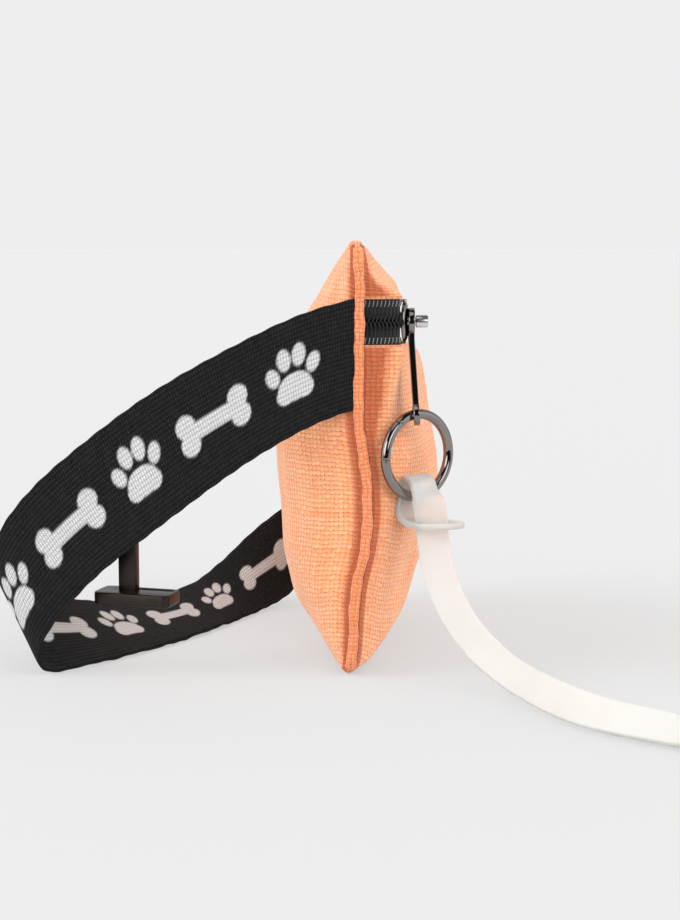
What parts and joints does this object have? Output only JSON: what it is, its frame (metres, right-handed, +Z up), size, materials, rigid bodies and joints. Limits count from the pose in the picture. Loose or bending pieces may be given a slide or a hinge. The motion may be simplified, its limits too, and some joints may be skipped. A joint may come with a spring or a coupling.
{
  "type": "treat pouch",
  "caption": "Stuffed canvas pouch standing on its bottom seam, with front zip, pull with spring-gate ring, silicone strap, webbing hand strap and T-bar toggle.",
  "frame": {"origin": "middle of the flat underside of the bottom seam, where the pouch stands", "axes": "+Z up; +X out of the zipped front panel; Y along the bottom seam, with the near side seam, the pull and the ring at -Y"},
  "size_m": [0.259, 0.2432, 0.15],
  "materials": {
    "canvas": "matte",
    "canvas_seam": "matte",
    "lining": "matte",
    "zip_tape": "matte",
    "zip_coil": "satin",
    "webbing": "matte",
    "gunmetal": "polished",
    "pin_steel": "satin",
    "silicone": "satin"
  },
  "bodies": {
    "pouch": {"rear_panel": "canvas", "front_lower_panel": "canvas", "front_upper_panel": "canvas", "lining_rear": "lining", "lining_front": "lining", "seam_binding": "canvas_seam", "zip_tape_lower": "zip_tape", "zip_tape_upper": "zip_tape", "zip_coil_lower": "zip_coil", "zip_coil_upper": "zip_coil", "zip_stop_far": "gunmetal", "hand_strap": "webbing", "toggle_bracket": "gunmetal", "toggle_washer": "gunmetal"},
    "slider": {"slider_body": "gunmetal", "pull_pin": "pin_steel", "silicone_strap": "silicone"},
    "pull": {"pull_bar": "gunmetal", "silicone_loop": "silicone", "silicone_keeper": "silicone"},
    "ring": {"ring_body": "gunmetal", "ring_gate_pin": "pin_steel"},
    "gate": {"ring_gate": "gunmetal"},
    "toggle": {"toggle_bar": "gunmetal"}
  },
  "joints": [
    {"name": "zip_slide", "type": "slide", "parent": "pouch", "child": "slider", "axis": [0, 1, 0], "range_m": [0, 0.1], "deforming": ["front_lower_panel", "lining_front"]},
    {"name": "pull_swing", "type": "hinge", "parent": "slider", "child": "pull", "pos_m": [0.0205, -0.058, 0.1224], "axis": [1, 0, 0], "range_deg": [-60, 0], "deforming": ["silicone_strap"]},
    {"name": "ring_spin", "type": "hinge", "parent": "pull", "child": "ring", "pos_m": [0.0228, -0.058, 0.0761], "axis": [0.6225, -0.7826, 0], "continuous": true},
    {"name": "ring_gate", "type": "hinge", "parent": "ring", "child": "gate", "pos_m": [0.01258, -0.06613, 0.07911], "axis": [0.6225, -0.7826, 0], "range_deg": [-25, 0], "stiffness_Nm_per_rad": 0.002},
    {"name": "toggle_swing", "type": "hinge", "parent": "pouch", "child": "toggle", "pos_m": [-0.0769, -0.054, 0.066], "axis": [0, 1, 0], "range_deg": [-55, 55]}
  ]
}
